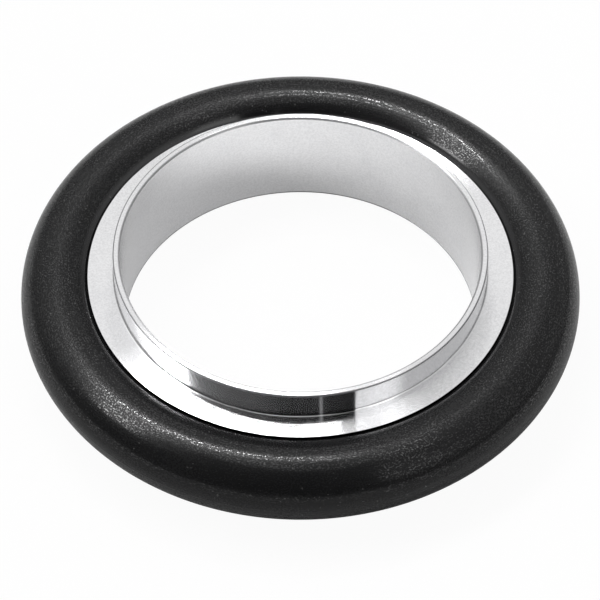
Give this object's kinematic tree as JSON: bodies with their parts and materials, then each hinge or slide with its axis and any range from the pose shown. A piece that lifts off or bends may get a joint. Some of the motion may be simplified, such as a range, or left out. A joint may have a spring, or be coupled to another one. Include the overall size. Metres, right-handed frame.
{
  "type": "vacuum flange centering ring with o-ring",
  "caption": "Turned metal centering ring with a thin-walled sleeve, a grooved web round its middle and a thick black elastomer seal ring seated in the groove.",
  "frame": {"origin": "centre of the ring, on its axis and its mid-plane", "axes": "+Z along the ring's axis, out of the upper lip; +X and +Y are any two perpendicular radii"},
  "size_m": [0.0392, 0.0392, 0.008],
  "materials": {
    "turned_metal": "fine turned stainless steel, concentric tool marks on the faces",
    "black_elastomer": "satin black moulded elastomer"
  },
  "bodies": {
    "root": {"centering_ring": "turned_metal", "o_ring": "black_elastomer"}
  },
  "joints": []
}
